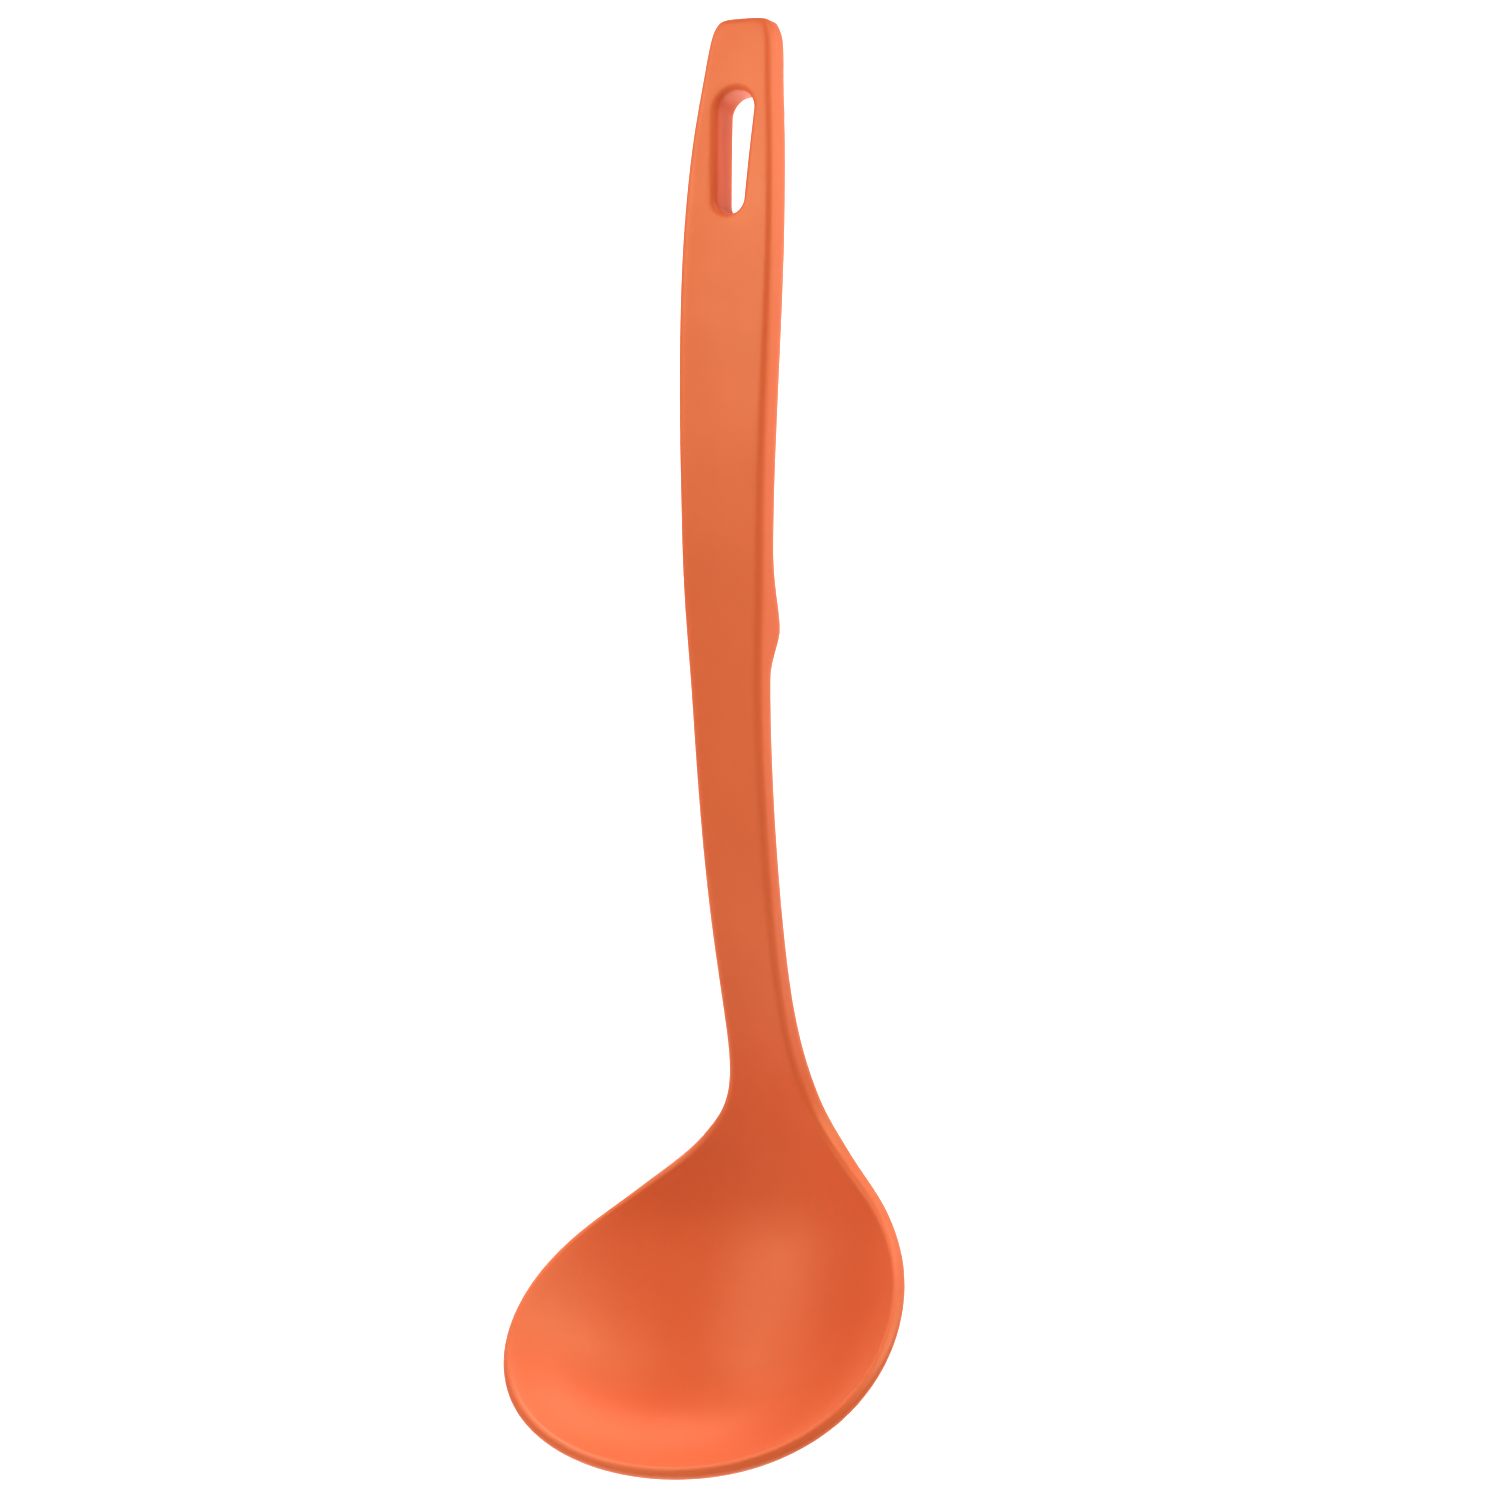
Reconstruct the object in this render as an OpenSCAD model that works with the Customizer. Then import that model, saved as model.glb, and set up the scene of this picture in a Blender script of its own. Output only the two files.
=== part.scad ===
// One-piece kitchen ladle: a silicone skin moulded over a stiff core.
//
// The front of the ladle is drawn on a bent sheet. A point of the sheet is given
// by x, its distance from the middle plane, and s, its distance down the sheet
// from the corners at the handle's top. The sheet runs straight across from side
// to side, bends backwards down the handle and then turns forwards into the plane
// of the bowl's rim. The bowl and the handle's shallow dish are sunk behind the sheet,
// and the wall is laid behind that surface along its own normal.
// Millimetres, +Z up along the handle, the bowl opens towards -Y, and the origin
// is at the centre of the hang slot's upper round end.

/* [Bowl] */
// Half width of the bowl inside its rim
bowl_half_width = 41.4; // [39:0.1:44]
// Distance from the widest line of the bowl forwards to the lip
bowl_front = 34.5; // [33:0.5:38]
// Distance from the widest line of the bowl back to its rear wall
bowl_back = 47; // [45:0.5:49]
// Depth of the bowl below its rim
bowl_depth = 23; // [18:0.5:26]
// Thickness of the bowl's wall
bowl_wall = 2.6; // [2.2:0.1:3.2]

/* [Handle] */
// Distance down the sheet from the top corners to the bowl's widest line
handle_run = 280; // [276:1:286]
// Thickness of the handle near its top
handle_thickness = 8; // [7:0.1:8.5]
// Depth of the hollow across the front of the handle
handle_dish = 0.5; // [0.2:0.1:0.8]
// Height of the pan-rim rest above the back of the handle
rest_height = 3.3; // [2:0.1:4]

/* [Hang slot] */
// Distance down the sheet from the top corners to the centre of the slot's upper end
slot_drop = 18.5; // [17.5:0.5:20]
// Radius of the slot's upper round end
slot_top_r = 4.1; // [3.8:0.1:4.6]
// Radius of the slot's lower round end
slot_bottom_r = 3.1; // [2.8:0.1:3.6]
// Distance between the centres of the two round ends
slot_reach = 18; // [14:0.5:20]
// Radius of the slot's rounded lips
slot_lip = 1.4; // [0.8:0.1:1.6]
// Angle of the slot's axis, which rises towards the front, square to the handle
slot_tilt = 8; // [4:0.5:10]

/* [Core] */
// Thickness of the silicone over the core's edge
skin_edge = 1.6; // [1.2:0.1:2]
// Thickness of the silicone in front of and behind the core in the handle
skin_face = 1.3; // [1:0.1:1.6]
// Thickness of the silicone on each face of the core in the bowl
skin_bowl = 0.75; // [0.6:0.05:0.9]

/* [Hidden] */

// Clearance between the core and the cavity that it fills
core_gap = 0.02;
// Steps along each stretch of a control row, and across one rib
row_steps = 2;
rib_steps = 11;
fillet_steps = 3;
table_step = 1;

// The bowl's plan is an egg: u = egg_a * c / (1 + egg_b * c), x = half width * sin.
egg_b = (bowl_back - bowl_front) / (bowl_back + bowl_front);
egg_a = 2 * bowl_front * bowl_back / (bowl_front + bowl_back);

// Lean of the sheet from straight down, in degrees, positive towards the back,
// by distance down the sheet.
lean_rows = [
    [-20, -13], [0, -13], [20, -9], [40, -5.5], [60, -4], [80, -2], [100, 0.5],
    [120, 3], [140, 5], [160, 8], [180, 11.5], [200, 16], [212, 21], [222, 20],
    [230, 4], [238, -17], [246, -41], [254, -54], [262, -54], [280, -50],
    [300, -49], [320, -49], [340, -49]
];

// Half width of the outline by distance down the sheet, to where the egg begins.
handle_rows = [
    [-0.6, 3], [-0.2, 6.1], [4, 7.3], [12, 7.9], [22, 9.1], [34, 9.9], [48, 10.4],
    [64, 10.3], [82, 9.9], [98, 9.4], [108, 9.3], [114, 9.1], [120, 8.9], [125, 8.6],
    [129, 8.4], [133, 8.2], [138, 8], [148, 7.8], [164, 7.6], [182, 7.4], [198, 7.1],
    [210, 7.2], [220, 8.1], [228, 10.4], [234, 15]
];
egg_start = 152;
egg_step = 12;
egg_swell = 6 / (4 + 2 * cos(egg_step));

// Wall thickness, front edge radius and back edge radius by distance down the sheet.
wall_rows = [
    [-40, handle_thickness, 1.6, 3.9],
    [-10, handle_thickness, 1.6, 3.9],
    [30, handle_thickness, 1.6, 3.9],
    [100, handle_thickness - 0.4, 1.6, 3.6],
    [170, handle_thickness - 1.8, 1.5, 3],
    [210, handle_thickness - 1.6, 1.4, 2.6],
    [235, handle_thickness - 3.8, 1.2, 1.6],
    [262, bowl_wall, 0.9, 1.1],
    [300, bowl_wall, 0.9, 1.1],
    [340, bowl_wall, 0.9, 1.1]
];

// Share of the bowl's cross curvature that each part of the sheet has.
dish_share = handle_dish * pow(bowl_half_width, 2) / (bowl_depth * 100);
curve_rows = [
    [-40, dish_share], [-10, dish_share], [190, dish_share], [222, 0.8], [245, 1],
    [290, 1], [340, 1]
];

// Share of the pan-rim rest's height down the sheet: a long ramp and a short step.
rest_rows = [
    [100, 0], [108, 0], [112, 0.1], [117, 0.45], [121, 0.8], [124, 1], [126, 0.95],
    [129, 0.45], [132, 0.05], [134, 0], [140, 0]
];

function unit(v) = v / norm(v);
function column(rows, k) = [for (r = rows) [r[0], r[k]]];

// Uniform cubic B-spline through a list of control rows.
function spline_at(a, b, c, d, t) =
    (a * pow(1 - t, 3) + b * (3 * pow(t, 3) - 6 * pow(t, 2) + 4)
    + c * (-3 * pow(t, 3) + 3 * pow(t, 2) + 3 * t + 1) + d * pow(t, 3)) / 6;
function spline(rows, steps) = [
    for (i = [0 : len(rows) - 4], k = [0 : steps - 1])
        spline_at(rows[i], rows[i + 1], rows[i + 2], rows[i + 3], k / steps)
];

// The sheet: lean, then its position by adding up short straight steps.
lean_table = spline(lean_rows, 8);
function lean(s) = lookup(s, lean_table);
sheet_end = 330;
sheet_table = [
    for (s = -5, y = 0, z = 0; s <= sheet_end;
        y = y + table_step * sin(lean(s + table_step / 2)),
        z = z - table_step * cos(lean(s + table_step / 2)), s = s + table_step)
        [s, y, z]
];
sheet_y = column(sheet_table, 1);
sheet_z = column(sheet_table, 2);
function sheet(s) = [0, lookup(s, sheet_y), lookup(s, sheet_z)];
function sheet_normal(s) = [0, -cos(lean(s)), -sin(lean(s))];

// The outline in x and s: handle rows, then the egg, then past the lip.
egg_rows = [
    for (a = [egg_start : -egg_step : -2 * egg_step])
        [
            handle_run + egg_a * egg_swell * cos(a) / (1 + egg_b * cos(a)),
            bowl_half_width * egg_swell * sin(a)
        ]
];
outline_rows = concat([[handle_rows[0][0], -handle_rows[0][1]]], handle_rows, egg_rows);
outline_curve = spline(outline_rows, row_steps);
// Ribs join the two sides at every point that is clear of the middle plane.
ribs = [for (p = outline_curve) if (p[1] > 0.6) p];
rib_count = len(ribs);

// Square of the outline's half width, by its points and, on the egg, by its formula.
outline_sq = [for (p = ribs) [p[0], pow(p[1], 2)]];
egg_from = handle_run - 30;
function egg_ratio(s) = (s - handle_run) / (egg_a - egg_b * (s - handle_run));
function half_sq(s) = s < egg_from
    ? lookup(s, outline_sq)
    : pow(bowl_half_width, 2) * (1 - pow(egg_ratio(s), 2));

curve_table = spline(curve_rows, 8);
wall_table = spline(wall_rows, 8);
rest_table = spline(rest_rows, 8);
wall_t = column(wall_table, 1);
front_r = column(wall_table, 2);
back_r = column(wall_table, 3);
function curve_share(s) = lookup(s, curve_table);

// The front surface, its unit normal towards the back, and a point laid behind it.
function sunk(x, s) = bowl_depth * curve_share(s)
    * (half_sq(s) - x * x) / pow(bowl_half_width, 2);
function front(x, s) = sheet(s) + [x, 0, 0] - sunk(x, s) * sheet_normal(s);
function backwards(x, s, h = 0.3) = unit(cross(
    front(x + h, s) - front(x - h, s), front(x, s + h) - front(x, s - h)));
function laid(p, depth) = front(p[1], p[0]) + depth * backwards(p[1], p[0]);

// Length on the sheet of a unit step down the wall at the outline.
function flat_share(s) = 1 / norm([1,
    2 * bowl_depth * curve_share(s) * sqrt(max(0, half_sq(s))) / pow(bowl_half_width, 2)]);

// Inward direction of the outline at rib j, as [down, across].
function before(j) = j > 0 ? ribs[j - 1] : [ribs[0][0], -ribs[0][1]];
function after(j) = j < rib_count - 1 ? ribs[j + 1] : [ribs[j][0], -ribs[j][1]];
function inward(j) =
    let (d = after(j) - before(j))
    unit([d[1], -d[0]]);

// A closed layer of the ladle's wall. edge is how far it stays inside the outline,
// cover gives by distance down the sheet how far it stays inside each face, and rest
// is the height of the pan-rim rest on its back.
module layer(edge, cover, rest) {
    function skin(s) = lookup(s, cover);
    function far(s) = lookup(s, wall_t) - skin(s) + rest * lookup(s, rest_table);
    function round_front(s) = max(0.35, lookup(s, front_r) - skin(s));
    function round_back(s) = max(0.35, lookup(s, back_r) - skin(s));
    // Each ring follows the outline: [how far inside it, how deep behind the front].
    function front_ring(s, a) = [round_front(s) * (1 - sin(a)),
        skin(s) + round_front(s) * (1 - cos(a))];
    function back_ring(s, a) = [round_back(s) * (1 - cos(a)),
        far(s) - round_back(s) * (1 - sin(a))];
    angles = [for (k = [0 : fillet_steps]) 90 * k / fillet_steps];
    function ring_at(k, s) = k <= fillet_steps
        ? front_ring(s, angles[k])
        : back_ring(s, angles[k - fillet_steps - 1]);
    function ring_flat(k, j) =
        let (s = ribs[j][0], r = ring_at(k, s))
        concat(ribs[j] + (edge + r[0]) * flat_share(s) * inward(j), r[1]);
    ring_count = 2 * (fillet_steps + 1);
    flats = [for (k = [0 : ring_count - 1]) [for (j = [0 : rib_count - 1]) ring_flat(k, j)]];
    function place(q) = laid(q, q[2]);
    function other_side(q) = [q[0], -q[1], q[2]];
    function across(q, i) = [q[0], q[1] * (2 * i / rib_steps - 1), q[2]];
    loop = 2 * rib_count;
    ring_points = [
        for (ring = flats) each concat(
            [for (q = ring) place(q)],
            [for (j = [rib_count - 1 : -1 : 0]) place(other_side(ring[j]))])
    ];
    // The first and last ribs are single edges, and every other rib is divided.
    function rib_points(ring) = [
        for (j = [1 : rib_count - 2], i = [1 : rib_steps - 1]) place(across(ring[j], i))
    ];
    front_points = rib_points(flats[0]);
    back_points = rib_points(flats[ring_count - 1]);
    front_base = len(ring_points);
    back_base = front_base + len(front_points);
    function at_rib(base, ring, j, i) =
        let (single = j == 0 || j == rib_count - 1)
        i == 0 || (single && 2 * i < rib_steps) ? ring * loop + loop - 1 - j
        : i == rib_steps || single ? ring * loop + j
        : base + (j - 1) * (rib_steps - 1) + i - 1;
    function quad(a, b, c, d) = [
        for (t = [[a, b, c], [a, c, d]]) if (t[0] != t[1] && t[1] != t[2] && t[2] != t[0]) t
    ];
    band_faces = [
        for (k = [0 : ring_count - 2], n = [0 : loop - 1])
            let (m = (n + 1) % loop)
            each quad(k * loop + n, (k + 1) * loop + n, (k + 1) * loop + m, k * loop + m)
    ];
    front_faces = [
        for (j = [0 : rib_count - 2], i = [0 : rib_steps - 1])
            each quad(at_rib(front_base, 0, j, i), at_rib(front_base, 0, j, i + 1),
                at_rib(front_base, 0, j + 1, i + 1), at_rib(front_base, 0, j + 1, i))
    ];
    last = ring_count - 1;
    back_faces = [
        for (j = [0 : rib_count - 2], i = [0 : rib_steps - 1])
            each quad(at_rib(back_base, last, j, i), at_rib(back_base, last, j + 1, i),
                at_rib(back_base, last, j + 1, i + 1), at_rib(back_base, last, j, i + 1))
    ];
    polyhedron(
        points = concat(ring_points, front_points, back_points),
        faces = concat(band_faces, front_faces, back_faces));
}

// The slot's flat flanks lie this far inside its round ends, so they cross them cleanly.
flank_inset = 0.004;

// Slot cutter, square to the handle: two turned ends and the taper between them.
// lip is the radius of the two rounded edges where it meets the handle's faces.
module slot_cutter(top_r, bottom_r, lip) {
    face = handle_thickness / 2;
    lean_in = asin((top_r - bottom_r) / slot_reach);
    flank = slot_reach * cos(lean_in);
    // Each corner of the slot's wall as [how far it is widened, height along the axis].
    rise = [for (a = [0 : 30 : 90]) [lip * (1 - cos(a)), face - lip * (1 - sin(a))]];
    fall = [for (k = [3 : -1 : 0]) [rise[k][0], -rise[k][1]]];
    wall = lip > 0 ? concat([[lip, -20]], fall, rise, [[lip, 20]]) : [[0, -20], [0, 20]];
    function profile(r) = concat([[0, -20]], [for (w = wall) [r + w[0], w[1]]], [[0, 20]]);
    rotate([90 - slot_tilt, 0, 0]) {
        rotate_extrude($fn = 64) polygon(profile(top_r));
        translate([0, -slot_reach, 0]) rotate_extrude($fn = 64) polygon(profile(bottom_r));
        for (side = [0, 1])
            rotate([90, 0, side == 0 ? -lean_in : 180 + lean_in])
                translate([0, 0, -side * flank])
                    linear_extrude(height = flank) polygon(profile(top_r - flank_inset));
    }
}

// Mean depth of the dished front behind the sheet round the slot.
slot_sink = 0.3;
slot_centre = sheet(slot_drop)
    + (handle_thickness / 2 + slot_sink) * [0, cos(slot_tilt), -sin(slot_tilt)];
no_cover = [[0, 0], [sheet_end, 0]];
function core_cover(gap) = [
    [0, skin_face - gap], [200, skin_face - gap], [240, skin_bowl - gap],
    [sheet_end, skin_bowl - gap]
];

// The core's shape, grown by a gap all round.
module core_shape(gap) {
    difference() {
        translate(-slot_centre) layer(skin_edge - gap, core_cover(gap), 0);
        slot_cutter(slot_top_r + skin_edge - gap, slot_bottom_r + skin_edge - gap, 0);
    }
}

module core() {
    color("ivory") core_shape(0);
}

module silicone_skin() {
    color("tomato")
        difference() {
            translate(-slot_centre) layer(0, no_cover, rest_height);
            slot_cutter(slot_top_r, slot_bottom_r, slot_lip);
            core_shape(core_gap);
        }
}

silicone_skin();
core();
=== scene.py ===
"""Looks of the silicone soup ladle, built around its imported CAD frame.

The ladle's front is drawn on a bent sheet. A point of the sheet is (x, s): x is the
distance from the middle plane and s the distance down the sheet from the top of the
handle. The sheet bends backwards down the handle and forwards into the plane of the
bowl's rim, and the wall is laid behind the sunk front surface along its own normal.
Shape values are in millimetres and are turned into metres as the meshes are made.
"""

import math

import bmesh
import bpy
import numpy as np
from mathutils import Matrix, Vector


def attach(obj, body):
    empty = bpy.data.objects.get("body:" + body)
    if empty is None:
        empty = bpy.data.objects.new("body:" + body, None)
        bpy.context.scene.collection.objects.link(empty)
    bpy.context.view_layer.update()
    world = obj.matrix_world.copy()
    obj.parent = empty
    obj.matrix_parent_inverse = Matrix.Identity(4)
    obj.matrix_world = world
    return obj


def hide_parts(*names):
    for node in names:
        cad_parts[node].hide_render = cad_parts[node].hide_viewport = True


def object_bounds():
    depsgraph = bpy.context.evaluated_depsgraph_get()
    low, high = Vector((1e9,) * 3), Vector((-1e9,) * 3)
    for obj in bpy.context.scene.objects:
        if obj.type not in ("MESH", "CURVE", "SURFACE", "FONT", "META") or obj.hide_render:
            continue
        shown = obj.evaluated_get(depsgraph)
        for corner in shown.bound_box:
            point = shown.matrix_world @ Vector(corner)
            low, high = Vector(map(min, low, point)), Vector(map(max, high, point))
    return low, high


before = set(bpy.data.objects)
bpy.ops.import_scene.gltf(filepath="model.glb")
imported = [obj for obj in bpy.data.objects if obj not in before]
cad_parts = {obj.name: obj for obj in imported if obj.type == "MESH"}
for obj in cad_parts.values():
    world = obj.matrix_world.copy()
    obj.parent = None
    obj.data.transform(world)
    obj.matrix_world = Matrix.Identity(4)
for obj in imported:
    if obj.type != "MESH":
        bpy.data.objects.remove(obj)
cad_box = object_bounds()

MM = 0.001

# --- Driving dimensions, in millimetres, the same as the CAD model's ---------------
BOWL_HALF_WIDTH = 41.4
BOWL_FRONT = 34.5
BOWL_BACK = 47.0
BOWL_DEPTH = 23.0
BOWL_WALL = 2.6
HANDLE_RUN = 280.0
HANDLE_THICKNESS = 8.0
HANDLE_DISH = 0.5
HANDLE_HALF_WIDTH = 10
REST_HEIGHT = 3.3
SLOT_DROP = 18.5
SLOT_TOP_R = 4.1
SLOT_BOTTOM_R = 3.1
SLOT_REACH = 18.0
SLOT_LIP = 1.4
SLOT_TILT = math.radians(8)
SLOT_SINK = 0.3
# The silicone's thickness over the core: at its edges, on the handle and on the bowl.
SKIN_EDGE = 1.6
SKIN_HANDLE = 1.3
SKIN_BOWL = 0.75
CORE_GAP = 0.02
CAVITY_LIP = 0.05

# Lean of the sheet from straight down, in degrees, by distance from the top.
LEAN_ROWS = [
    [-20, -13], [0, -13], [20, -9], [40, -5.5], [60, -4], [80, -2], [100, 0.5],
    [120, 3], [140, 5], [160, 8], [180, 11.5], [200, 16], [212, 21], [222, 20],
    [230, 4], [238, -17], [246, -41], [254, -54], [262, -54], [280, -50],
    [300, -49], [320, -49], [340, -49],
]

# Half width of the outline by distance from the top, down to where the egg begins.
HANDLE_ROWS = [
    [-0.6, 3], [-0.2, 6.1], [4, 7.3], [12, 7.9], [22, 9.1], [34, 9.9], [48, 10.4],
    [64, 10.3], [82, 9.9], [98, 9.4], [108, 9.3], [114, 9.1], [120, 8.9], [125, 8.6],
    [129, 8.4], [133, 8.2], [138, 8], [148, 7.8], [164, 7.6], [182, 7.4], [198, 7.1],
    [210, 7.2], [220, 8.1], [228, 10.4], [234, 15],
]
EGG_START = 152
EGG_STEP = 12

# Wall thickness, front edge radius and back edge radius by distance from the top.
WALL_ROWS = [
    [-40, HANDLE_THICKNESS, 1.6, 3.9],
    [-10, HANDLE_THICKNESS, 1.6, 3.9],
    [30, HANDLE_THICKNESS, 1.6, 3.9],
    [100, HANDLE_THICKNESS - 0.4, 1.6, 3.6],
    [170, HANDLE_THICKNESS - 1.8, 1.5, 3],
    [210, HANDLE_THICKNESS - 1.6, 1.4, 2.6],
    [235, HANDLE_THICKNESS - 3.8, 1.2, 1.6],
    [262, BOWL_WALL, 0.9, 1.1],
    [300, BOWL_WALL, 0.9, 1.1],
    [340, BOWL_WALL, 0.9, 1.1],
]

# Share of the bowl's cross curvature that each part of the sheet has.
DISH_SHARE = HANDLE_DISH * BOWL_HALF_WIDTH ** 2 / (BOWL_DEPTH * HANDLE_HALF_WIDTH ** 2)
CURVE_ROWS = [
    [-40, DISH_SHARE], [-10, DISH_SHARE], [190, DISH_SHARE], [222, 0.8], [245, 1],
    [290, 1], [340, 1],
]

# Height of the pan-rim rest, as a share, by distance from the top.
REST_ROWS = [
    [100, 0], [108, 0], [112, 0.1], [117, 0.45], [121, 0.8], [124, 1], [126, 0.95],
    [129, 0.45], [132, 0.05], [134, 0], [140, 0],
]


def spline(rows, steps):
    """Points of a uniform cubic B-spline with these control rows."""
    r = np.array(rows, float)
    t = np.linspace(0, 1, steps, endpoint=False)[None, :, None]
    a, b, c, d = r[:-3, None], r[1:-2, None], r[2:-1, None], r[3:, None]
    points = (
        a * (1 - t) ** 3
        + b * (3 * t ** 3 - 6 * t ** 2 + 4)
        + c * (-3 * t ** 3 + 3 * t ** 2 + 3 * t + 1)
        + d * t ** 3
    ) / 6
    return points.reshape(-1, r.shape[1])


def table(rows, column=1, steps=40):
    """A function of s that reads one column of a spline through control rows."""
    curve = spline(rows, steps)
    return lambda s: np.interp(s, curve[:, 0], curve[:, column])


# --- The sheet ------------------------------------------------------------------
lean_of = table(LEAN_ROWS)
SHEET_STEP = 0.1
sheet_s = np.arange(-5, 330, SHEET_STEP)
sheet_lean = np.radians(lean_of(sheet_s + SHEET_STEP / 2))
sheet_y = np.concatenate([[0], np.cumsum(np.sin(sheet_lean))[:-1]]) * SHEET_STEP
sheet_z = -np.concatenate([[0], np.cumsum(np.cos(sheet_lean))[:-1]]) * SHEET_STEP

# --- The outline ------------------------------------------------------------------
# From EGG_FROM on, measured down the sheet from the egg's widest place, the half width
# follows the egg's own formula.
EGG_B = (BOWL_BACK - BOWL_FRONT) / (BOWL_BACK + BOWL_FRONT)
EGG_A = 2 * BOWL_FRONT * BOWL_BACK / (BOWL_FRONT + BOWL_BACK)
EGG_FROM = -30
EGG_SWELL = 6 / (4 + 2 * math.cos(math.radians(EGG_STEP)))


def egg_row(degrees):
    """Control row of the outline's egg at an angle from the lip."""
    c = math.cos(math.radians(degrees))
    s = HANDLE_RUN + EGG_A * EGG_SWELL * c / (1 + EGG_B * c)
    return [s, BOWL_HALF_WIDTH * EGG_SWELL * math.sin(math.radians(degrees))]


egg_rows = [egg_row(a) for a in range(EGG_START, -3 * EGG_STEP, -EGG_STEP)]
top_rows = [[s, -w] for s, w in HANDLE_ROWS[1::-1]]
full_outline = spline(top_rows + HANDLE_ROWS + egg_rows, 60)


def right_half(curve):
    """The stretch of the closed outline from the top's middle to the lip's middle."""
    start = np.nonzero((curve[:-1, 1] < 0) & (curve[1:, 1] >= 0))[0][0]
    stop = np.nonzero((curve[:-1, 1] > 0) & (curve[1:, 1] <= 0))[0][-1] + 1

    def on_middle(p, q):
        t = p[1] / (p[1] - q[1])
        return p + (q - p) * t

    first = on_middle(curve[start], curve[start + 1])
    last = on_middle(curve[stop - 1], curve[stop])
    return np.vstack([first, curve[start + 1:stop], last])


outline = right_half(full_outline)


def half_sq(s):
    """Square of the outline's half width at s."""
    u = np.asarray(s, float) - HANDLE_RUN
    ratio = u / (EGG_A - EGG_B * u)
    by_points = np.interp(s, outline[:, 0], outline[:, 1] ** 2)
    return np.where(u < EGG_FROM, by_points, BOWL_HALF_WIDTH ** 2 * (1 - ratio ** 2))


# --- The surface ------------------------------------------------------------------
curve_share = table(CURVE_ROWS)
wall_of = table(WALL_ROWS, 1)
front_radius = table(WALL_ROWS, 2)
back_radius = table(WALL_ROWS, 3)
rest_share = table(REST_ROWS)


def front(x, s):
    """Point of the front surface, before it is moved to the frame's origin."""
    lean = np.radians(lean_of(s))
    sunk = BOWL_DEPTH * curve_share(s) * (half_sq(s) - x * x) / BOWL_HALF_WIDTH ** 2
    y = np.interp(s, sheet_s, sheet_y) + sunk * np.cos(lean)
    z = np.interp(s, sheet_s, sheet_z) + sunk * np.sin(lean)
    return np.stack([x + 0 * s, y, z], -1)


# How far to each side of a point its surface normal is measured.
NORMAL_REACH = 0.8


def backwards(x, s, h=NORMAL_REACH):
    """Unit normal of the front surface, towards the back."""
    n = np.cross(front(x + h, s) - front(x - h, s), front(x, s + h) - front(x, s - h))
    return n / np.linalg.norm(n, axis=-1, keepdims=True)


# The slot's axis, from front to back, and the direction from its lower to its upper end.
slot_axis = np.array([0, math.cos(SLOT_TILT), -math.sin(SLOT_TILT)])
slot_up = np.array([0, math.sin(SLOT_TILT), math.cos(SLOT_TILT)])
slot_centre = np.array([
    0,
    np.interp(SLOT_DROP, sheet_s, sheet_y),
    np.interp(SLOT_DROP, sheet_s, sheet_z),
]) + (HANDLE_THICKNESS / 2 + SLOT_SINK) * slot_axis


def laid(x, s, depth):
    """Point laid behind the front surface, in the frame, in millimetres."""
    x, s, depth = np.broadcast_arrays(np.asarray(x, float), s, depth)
    return front(x, s) + depth[..., None] * backwards(x, s) - slot_centre


# --- Ribs: where the outline is divided, from the top's middle to the lip's -------
TOP_STEPS = 36
SLOT_SIDE_STEPS = 12
BELOW_SLOT_STEPS = 5
STRIP_STEPS = 120
BOWL_STEPS = 66
HALF_ACROSS = 10
SLOT_LOW_LEVEL = 36.8
STRIP_TOP = 44.0
NECK = 236.0

outline_length = np.concatenate(
    [[0], np.cumsum(np.linalg.norm(np.diff(outline, axis=0), axis=1))])
whole = np.vstack([outline[3:0:-1] * [1, -1], outline, outline[-2:-5:-1] * [1, -1]])
outline_run = np.gradient(whole, axis=0)[3:-3]
outline_inward = np.stack([outline_run[:, 1], -outline_run[:, 0]], -1)
outline_inward /= np.linalg.norm(outline_inward, axis=1, keepdims=True)


def length_at(s):
    """Length along the outline where it passes s."""
    return np.interp(s, outline[:, 0], outline_length)


stops = [0, length_at(SLOT_DROP), length_at(SLOT_LOW_LEVEL), length_at(STRIP_TOP),
         length_at(NECK), outline_length[-1]]
steps = [TOP_STEPS, SLOT_SIDE_STEPS, BELOW_SLOT_STEPS, STRIP_STEPS, BOWL_STEPS]
rib_length = np.concatenate(
    [[0]] + [np.linspace(a, b, n + 1)[1:] for a, b, n in zip(stops, stops[1:], steps)])


def along_outline(values):
    """Values of the outline's points at each rib."""
    return np.stack([np.interp(rib_length, outline_length, v) for v in values.T], -1)


ribs = along_outline(outline)
rib_inward = along_outline(outline_inward)
ribs[[0, -1], 1] = 0
rib_inward[[0, -1], 1] = 0
rib_inward /= np.linalg.norm(rib_inward, axis=1, keepdims=True)
# At the handle's top the edges are set in towards one point, so they can't fold over
# each other round its corners.
TOP_FOCUS = 8
FOCUS_HOLDS_TO = 4
FOCUS_FADES_OVER = 8
top_pull = np.stack([(TOP_FOCUS - ribs[:, 0]) / (TOP_FOCUS - ribs[0, 0]),
                     -ribs[:, 1] / np.interp(TOP_FOCUS, outline[:, 0], outline[:, 1])], -1)
below_top = np.clip((ribs[:, :1] - FOCUS_HOLDS_TO) / FOCUS_FADES_OVER, 0, 1)
below_top = below_top ** 2 * (3 - 2 * below_top)
rib_inward = (1 - below_top) * top_pull + below_top * rib_inward
STRIP_RIB = TOP_STEPS + SLOT_SIDE_STEPS + BELOW_SLOT_STEPS
NECK_RIB = STRIP_RIB + STRIP_STEPS

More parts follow.
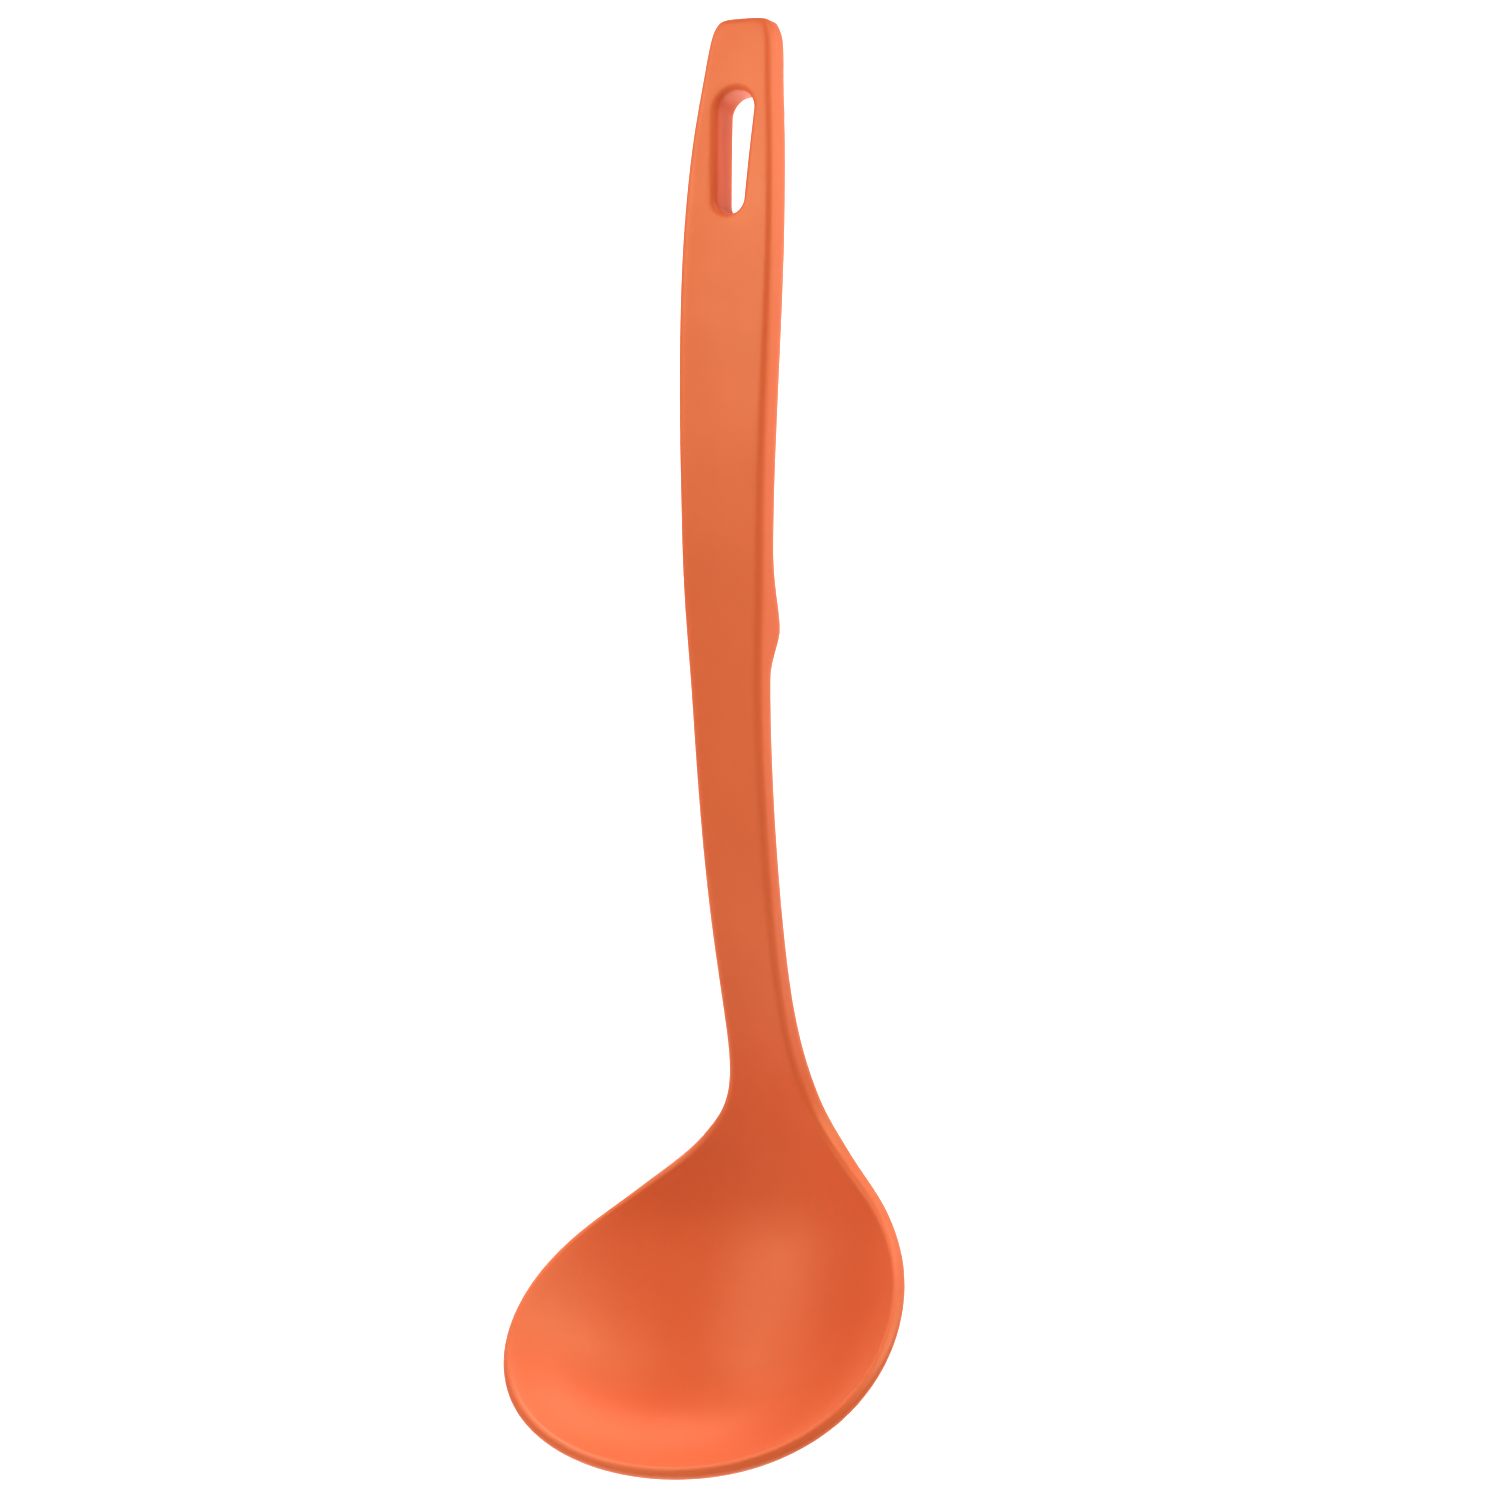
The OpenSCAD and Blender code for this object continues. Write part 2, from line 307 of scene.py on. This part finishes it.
rib_slope = (2 * BOWL_DEPTH * curve_share(ribs[:, 0]) * np.sqrt(np.maximum(half_sq(ribs[:, 0]), 0))
             / BOWL_HALF_WIDTH ** 2)
rib_flat = 1 / np.sqrt(1 + rib_slope ** 2)

# --- Edges: how each ring round the outline is set in and set back ----------------
SLOT_MARGIN = 0.1
# The slot's lip on the back is smaller than the front's, so that it clears the back edge.
BACK_LIP = 0.7
FRONT_EDGE_STEPS = 5
SIDE_STEPS = 3
BACK_EDGE_STEPS = 7
LEAST_RADIUS = 0.35


def skin_cover(s):
    """How thick the silicone lies over the core's faces."""
    return np.interp(s, [200, 240], [SKIN_HANDLE, SKIN_BOWL])


class Layer:
    """A closed layer of the wall.

    edge is how far it stays inside the outline, cover how far inside each face, rest
    is 1 with the pan-rim rest on its back, slot is how much wider its slot is, and lip
    is the radius of the slot's front edge. The back edge's is at most BACK_LIP.
    """

    def __init__(self, edge, cover, rest, slot, lip):
        self.edge = edge
        self.cover = cover
        self.rest = rest
        self.slot = slot
        self.lip = lip
        self.back_lip = min(lip, BACK_LIP)

    def near(self, s):
        return self.cover(s)

    def far(self, s):
        return wall_of(s) - self.cover(s) + self.rest * REST_HEIGHT * rest_share(s)

    def slot_room(self):
        """Room at each rib for the back edge's radius between the outline and the slot."""
        s, x = ribs.T
        reach = SLOT_TOP_R + self.slot + self.back_lip
        above = np.maximum(0, SLOT_DROP - s)
        half = np.sqrt(np.maximum(0, reach ** 2 - above ** 2))
        room = x - self.edge - half - SLOT_MARGIN
        beside = (above < reach) & (s < SLOT_DROP + SLOT_REACH + reach)
        return np.where(beside, room, HANDLE_THICKNESS)

    def rings(self):
        """Each ring as its ribs' [s, x] and its depth behind the front surface."""
        s = ribs[:, 0]
        front_r = np.maximum(LEAST_RADIUS, front_radius(s) - self.near(s))
        back_r = np.minimum(back_radius(s) - self.near(s), self.slot_room())
        back_r = np.maximum(LEAST_RADIUS, back_r)
        # Each ring as its inset, its share of the way to the back, and its depth past there.
        profile = []
        for angle in np.radians(np.linspace(0, 90, FRONT_EDGE_STEPS + 1)):
            profile.append((front_r * (1 - np.sin(angle)), 0, front_r * (1 - np.cos(angle))))
        for share in np.linspace(0, 1, SIDE_STEPS + 2)[1:-1]:
            profile.append((0 * s, share, front_r * (1 - share) - back_r * share))
        for angle in np.radians(np.linspace(0, 90, BACK_EDGE_STEPS + 1)):
            profile.append((back_r * (1 - np.cos(angle)), 1, -back_r * (1 - np.sin(angle))))
        rings = []
        for inset, share, past in profile:
            flat = ribs + ((self.edge + inset) * rib_flat)[:, None] * rib_inward
            at = flat[:, 0]
            rings.append((flat, self.near(at) * (1 - share) + self.far(at) * share + past))
        return rings


# --- Meshes -----------------------------------------------------------------------
SLOT_RINGS = 5
LIP_STEPS = 5
SLOT_WALL_STEPS = 4
BOWL_RINGS = 16
PATCH_SIZE = 0.45
PATCH_RISE = 4
ROUND_SHARE = 0.6
SQUARE_SIZE = 0.85
SLOT_ROUNDS = 12
WELD_DISTANCE = 2e-6


class Sheets:
    """Collects grids of points as one mesh's faces."""

    def __init__(self):
        self.points = []
        self.faces = []

    def add(self, grid, wrap=False):
        """A grid of points, rows by columns; wrap joins the last column to the first."""
        grid = np.asarray(grid)
        rows, columns = grid.shape[:2]
        base = sum(len(p) for p in self.points)
        self.points.append(grid.reshape(-1, 3))
        for r in range(rows - 1):
            for c in range(columns if wrap else columns - 1):
                d = (c + 1) % columns
                self.faces.append([base + r * columns + c, base + r * columns + d,
                                   base + (r + 1) * columns + d, base + (r + 1) * columns + c])

    def to_bmesh(self, inside_out=False):
        """One closed shell in metres, with its grids welded along their borders."""
        bm = bmesh.new()
        verts = [bm.verts.new(p) for p in np.vstack(self.points) * MM]
        for face in self.faces:
            bm.faces.new([verts[i] for i in face])
        bmesh.ops.remove_doubles(bm, verts=bm.verts, dist=WELD_DISTANCE)
        bmesh.ops.recalc_face_normals(bm, faces=bm.faces)
        if inside_out:
            bmesh.ops.reverse_faces(bm, faces=bm.faces)
        return bm


def both_sides(right):
    """A closed loop from the top's middle down the right side and up the left."""
    return np.vstack([right, right[-2:0:-1] * [1, -1]])


def between(first, last, steps):
    """Rows from first to last in equal steps, both ends included."""
    share = np.linspace(0, 1, steps + 1)[:, None, None]
    return (1 - share) * first + share * last


SLOT_TAPER = math.asin((SLOT_TOP_R - SLOT_BOTTOM_R) / SLOT_REACH)


def slot_loop(grow):
    """The slot's outline, across and up the handle, widened by grow."""
    down = -math.pi / 2
    top = np.linspace(math.pi / 2, -SLOT_TAPER, TOP_STEPS + 1)
    low = np.linspace(-SLOT_TAPER, down, BELOW_SLOT_STEPS + HALF_ACROSS + 1)
    side = np.full(SLOT_SIDE_STEPS - 1, -SLOT_TAPER)
    angle = np.concatenate([top, side, low])
    out = np.stack([np.cos(angle), np.sin(angle)], -1)
    share = np.concatenate([0 * top, np.linspace(0, 1, SLOT_SIDE_STEPS + 1)[1:-1], 1 + 0 * low])
    centre = np.stack([0 * share, -SLOT_REACH * share], -1)
    radius = SLOT_TOP_R + (SLOT_BOTTOM_R - SLOT_TOP_R) * share + grow
    right = centre + radius[:, None] * out
    right[[0, -1], 0] = 0
    return np.vstack([right, right[-2:0:-1] * [-1, 1]])


def on_face(loop, depth_of):
    """[s, x] of the points of a face that the slot's outline meets along its axis."""
    s = SLOT_DROP - loop[:, 1]
    x = loop[:, 0].copy()
    for _ in range(SLOT_ROUNDS):
        p = laid(x, s, depth_of(s))
        s = s + p @ slot_up - loop[:, 1]
        x = x + loop[:, 0] - p[:, 0]
    return np.stack([s, x], -1)


def rounded_corner(a, corner, b, steps):
    """Rows of a round edge from a to b whose sides meet at corner."""
    t = np.linspace(0, 1, steps + 1)[:, None, None]
    weight = math.sqrt(2) * t * (1 - t)
    total = (1 - t) ** 2 + weight + t ** 2
    return ((1 - t) ** 2 * a + weight * corner + t ** 2 * b) / total


def face_grids(sheets, right, depth_of, grow, lip, inwards):
    """One face of a layer: round the slot, down the handle and over the bowl."""
    def laid_flat(flat):
        return laid(flat[..., 1], flat[..., 0], depth_of(flat[..., 0]))

    # Round the slot.
    down_side = right[:STRIP_RIB + 1]
    corner = down_side[-1]
    across = corner * [1, 0] + np.linspace(1, 0, HALF_ACROSS + 1)[1:, None] * corner * [0, 1]
    outer = both_sides(np.vstack([down_side, across]))
    inner = on_face(slot_loop(grow + lip), depth_of)
    sheets.add(laid_flat(between(outer, inner, SLOT_RINGS)), wrap=True)
    sharp = laid_flat(on_face(slot_loop(grow), depth_of))
    wall = sharp + inwards * lip * slot_axis
    sheets.add(rounded_corner(laid_flat(inner), sharp, wall, LIP_STEPS), wrap=True)

    # Down the handle to the neck.
    strip = right[STRIP_RIB:NECK_RIB + 1]
    share = np.linspace(-1, 1, 2 * HALF_ACROSS + 1)
    sheets.add(laid_flat(np.stack(
        [np.repeat(strip[:, :1], len(share), 1), strip[:, 1:] * share], -1)))

    # Over the bowl: a rounded square patch in its middle, and rings out to the rim.
    half_rib = strip[-1] * [1, 0] + np.linspace(0, 1, HALF_ACROSS + 1)[:-1, None] * strip[-1] * [0, 1]
    loop = both_sides(np.vstack([half_rib, right[NECK_RIB:]]))
    side = len(loop) // 4
    middle = np.array([HANDLE_RUN - PATCH_RISE, 0])
    u, v = np.meshgrid(np.linspace(-1, 1, side + 1), np.linspace(-1, 1, side + 1))
    reach = PATCH_SIZE * np.array([BOWL_FRONT + PATCH_RISE, BOWL_HALF_WIDTH])
    square = np.stack([v, u], -1)
    disc = np.stack([v * np.sqrt(1 - u ** 2 / 2), u * np.sqrt(1 - v ** 2 / 2)], -1)
    patch = middle + reach * (square * (1 - ROUND_SHARE) * SQUARE_SIZE + disc * ROUND_SHARE)
    sheets.add(laid_flat(patch))
    edge = np.vstack([patch[0, side // 2:-1], patch[:-1, -1], patch[-1, :0:-1],
                      patch[:0:-1, 0], patch[0, :side // 2]])
    sheets.add(laid_flat(between(loop, edge, BOWL_RINGS)), wrap=True)
    return wall


def layer_shell(layer, inside_out=False):
    """The closed surface of a layer, as a bmesh in metres."""
    sheets = Sheets()
    rings = layer.rings()
    ring_rows = []
    for flat, depth in rings:
        loop = both_sides(flat)
        loop_depth = np.concatenate([depth, depth[-2:0:-1]])
        ring_rows.append(laid(loop[:, 1], loop[:, 0], loop_depth))
    sheets.add(ring_rows, wrap=True)
    front_wall = face_grids(sheets, rings[0][0], layer.near, layer.slot, layer.lip, 1)
    back_wall = face_grids(sheets, rings[-1][0], layer.far, layer.slot, layer.back_lip, -1)
    sheets.add(between(front_wall, back_wall, SLOT_WALL_STEPS), wrap=True)
    return sheets.to_bmesh(inside_out)


def joined(first, second):
    """The first bmesh with the second's faces added."""
    spare = bpy.data.meshes.new("spare")
    second.to_mesh(spare)
    second.free()
    first.from_mesh(spare)
    bpy.data.meshes.remove(spare)
    return first


def piece(name, bm, material, replaced):
    """Turns a bmesh into a smooth piece of the object that rides on the one body."""
    mesh = bpy.data.meshes.new(name)
    bm.to_mesh(mesh)
    bm.free()
    for polygon in mesh.polygons:
        polygon.use_smooth = True
    mesh.materials.append(material)
    obj = bpy.data.objects.new(name, mesh)
    bpy.context.scene.collection.objects.link(obj)
    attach(obj, "root")
    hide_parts(replaced)


# --- Materials --------------------------------------------------------------------
def new_material(name):
    """A material with an empty node tree but for its output and a Principled shader."""
    material = bpy.data.materials.new(name)
    material.use_nodes = True
    shader = material.node_tree.nodes["Principled BSDF"]
    return material, material.node_tree, shader


def noise(tree, coordinates, scale, detail, roughness=0.5):
    node = tree.nodes.new("ShaderNodeTexNoise")
    node.inputs["Scale"].default_value = scale
    node.inputs["Detail"].default_value = detail
    node.inputs["Roughness"].default_value = roughness
    tree.links.new(coordinates, node.inputs["Vector"])
    return node.outputs["Fac"]


def remap(tree, value, low, high, new_low, new_high):
    node = tree.nodes.new("ShaderNodeMapRange")
    node.inputs["From Min"].default_value = low
    node.inputs["From Max"].default_value = high
    node.inputs["To Min"].default_value = new_low
    node.inputs["To Max"].default_value = new_high
    tree.links.new(value, node.inputs["Value"])
    return node.outputs["Result"]


def mix_colour(tree, share, first, second):
    node = tree.nodes.new("ShaderNodeMix")
    node.data_type = "RGBA"
    node.inputs["A"].default_value = (*first, 1)
    node.inputs["B"].default_value = (*second, 1)
    tree.links.new(share, node.inputs["Factor"])
    return node.outputs["Result"]


def bump(tree, height, strength, distance, under=None):
    node = tree.nodes.new("ShaderNodeBump")
    node.inputs["Strength"].default_value = strength
    node.inputs["Distance"].default_value = distance
    tree.links.new(height, node.inputs["Height"])
    if under is not None:
        tree.links.new(under, node.inputs["Normal"])
    return node.outputs["Normal"]


def silicone():
    """Orange silicone from a fine-blasted mould: matt, with a soft sheen."""
    material, tree, shader = new_material("silicone_orange")
    place = tree.nodes.new("ShaderNodeTexCoord").outputs["Object"]
    clouds = remap(tree, noise(tree, place, 26, 3), 0.3, 0.7, 0, 1)
    colour = mix_colour(tree, clouds, (0.79, 0.112, 0.028), (0.84, 0.128, 0.034))
    tree.links.new(colour, shader.inputs["Base Color"])
    grain = noise(tree, place, 2600, 4, 0.65)
    handling = noise(tree, place, 60, 4)
    tree.links.new(remap(tree, handling, 0.3, 0.7, 0.47, 0.55), shader.inputs["Roughness"])
    waves = bump(tree, noise(tree, place, 120, 2), 0.10, 0.0004)
    tree.links.new(bump(tree, grain, 0.22, 0.00012, waves), shader.inputs["Normal"])
    shader.inputs["Specular IOR Level"].default_value = 0.9
    shader.inputs["Specular Tint"].default_value = (1.0, 0.78, 0.42, 1)
    shader.inputs["Sheen Weight"].default_value = 0.1
    shader.inputs["Sheen Roughness"].default_value = 0.5
    shader.inputs["Sheen Tint"].default_value = (1.0, 0.8, 0.5, 1)
    return material


def nylon():
    """Natural glass-filled nylon: cream, with faint flow and fibre marks."""
    material, tree, shader = new_material("core_nylon")
    place = tree.nodes.new("ShaderNodeTexCoord").outputs["Object"]
    flow = remap(tree, noise(tree, place, 90, 5), 0.3, 0.7, 0, 1)
    colour = mix_colour(tree, flow, (0.62, 0.58, 0.48), (0.74, 0.70, 0.60))
    tree.links.new(colour, shader.inputs["Base Color"])
    tree.links.new(remap(tree, flow, 0, 1, 0.42, 0.58), shader.inputs["Roughness"])
    tree.links.new(bump(tree, noise(tree, place, 1500, 3), 0.2, 0.0001), shader.inputs["Normal"])
    return material


# --- The ladle --------------------------------------------------------------------
outer = Layer(edge=0, cover=lambda s: 0 * s, rest=1, slot=0, lip=SLOT_LIP)
cavity = Layer(edge=SKIN_EDGE - CORE_GAP, cover=lambda s: skin_cover(s) - CORE_GAP, rest=0,
               slot=SKIN_EDGE - CORE_GAP, lip=CAVITY_LIP)
shells = joined(layer_shell(outer), layer_shell(cavity, inside_out=True))
piece("silicone_skin_smooth", shells, silicone(), "silicone_skin")
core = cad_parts["core"]
core.data.materials.clear()
core.data.materials.append(nylon())

# --- Stage ------------------------------------------------------------------------
low = Vector(cad_box[0])


def sweep_stage():
    """A plain pale floor that curves up into a wall behind the ladle."""
    clearance = 0.12
    floor_z = low.z - clearance
    floor_y = -2.5
    wall_y = 1.4
    turn = 0.7
    turn_steps = 24
    wall_top = 2.4
    half = 3.0
    profile = [(floor_y, floor_z), (wall_y - turn, floor_z)]
    for step in range(1, turn_steps + 1):
        angle = math.radians(90 * step / turn_steps)
        profile.append((wall_y - turn + turn * math.sin(angle),
                        floor_z + turn * (1 - math.cos(angle))))
    profile.append((wall_y, floor_z + wall_top))
    bm = bmesh.new()
    rows = [[bm.verts.new((x, y, z)) for x in (-half, half)] for y, z in profile]
    for a, b in zip(rows, rows[1:]):
        bm.faces.new([a[0], a[1], b[1], b[0]])
    mesh = bpy.data.meshes.new("floor")
    bm.to_mesh(mesh)
    bm.free()
    for polygon in mesh.polygons:
        polygon.use_smooth = True
    material, _, shader = new_material("pale_floor")
    shader.inputs["Base Color"].default_value = (0.93, 0.93, 0.93, 1)
    shader.inputs["Roughness"].default_value = 0.9
    mesh.materials.append(material)
    floor = bpy.data.objects.new("floor", mesh)
    bpy.context.scene.collection.objects.link(floor)
    floor.rotation_euler.z = math.radians(CAMERA_AZIMUTH)


def aim_at(obj, target):
    obj.rotation_euler = (Vector(target) - obj.location).to_track_quat("-Z", "Y").to_euler()


def direction(azimuth, elevation):
    """Unit vector from the object: azimuth 0 is the front, -Y, and +90 is +X."""
    a = math.radians(azimuth)
    e = math.radians(elevation)
    return Vector((math.sin(a) * math.cos(e), -math.cos(a) * math.cos(e), math.sin(e)))


# The camera looks from the right of the ladle, a little above its middle.
CAMERA_AZIMUTH = 28
CAMERA_ELEVATION = 4
CAMERA_DISTANCE = 0.72
CAMERA_LENS = 83.9
SENSOR_WIDTH = 36
CAMERA_AIM = Vector((0, 0.0031, -0.1295))
TOP_AIM = (0, 0, -0.03)
WARM_WHITE = (1.0, 0.97, 0.93)


def add_camera():
    data = bpy.data.cameras.new("camera")
    data.lens = CAMERA_LENS
    data.sensor_width = SENSOR_WIDTH
    camera = bpy.data.objects.new("camera", data)
    bpy.context.scene.collection.objects.link(camera)
    camera.location = CAMERA_AIM + CAMERA_DISTANCE * direction(CAMERA_AZIMUTH, CAMERA_ELEVATION)
    aim_at(camera, CAMERA_AIM)
    bpy.context.scene.camera = camera


def add_softbox(name, azimuth, elevation, distance, size, power, target=CAMERA_AIM):
    """A round soft light at a direction and distance from its target."""
    data = bpy.data.lights.new(name, "AREA")
    data.shape = "DISK"
    data.size = size
    data.energy = power
    data.color = WARM_WHITE
    light = bpy.data.objects.new(name, data)
    bpy.context.scene.collection.objects.link(light)
    light.location = Vector(target) + distance * direction(azimuth, elevation)
    aim_at(light, target)


def add_wall_light():
    """A broad light above and behind the ladle that whitens the wall and floor there."""
    data = bpy.data.lights.new("wall_light", "AREA")
    data.shape = "DISK"
    data.size = 0.8
    data.energy = 17
    light = bpy.data.objects.new("wall_light", data)
    bpy.context.scene.collection.objects.link(light)
    back = direction(CAMERA_AZIMUTH + 180, 0)
    behind = 0.5
    above = 0.6
    aim_behind = 1.3
    aim_below = 0.25
    light.location = CAMERA_AIM + behind * back + Vector((0, 0, above))
    aim_at(light, CAMERA_AIM + aim_behind * back - Vector((0, 0, aim_below)))


sweep_stage()
add_camera()
add_wall_light()
add_softbox("front", -33, 18, 1.2, 0.8, 3.1)
add_softbox("left", -70, 42, 1.2, 0.8, 2.2)
add_softbox("side", 146, 14, 1.2, 0.8, 2.2)
add_softbox("edge", 74, 54, 1.2, 0.5, 4.2)
add_softbox("top_side", 100, 20, 0.42, 0.25, 1.0, TOP_AIM)
add_softbox("top_left", -36, 22, 0.42, 0.25, 0.7, TOP_AIM)

WORLD_STRENGTH = 0.15
world = bpy.data.worlds.new("studio")
bpy.context.scene.world = world
world.use_nodes = True
world.node_tree.nodes["Background"].inputs["Color"].default_value = (1, 1, 1, 1)
world.node_tree.nodes["Background"].inputs["Strength"].default_value = WORLD_STRENGTH
bpy.context.scene.view_settings.view_transform = "Standard"
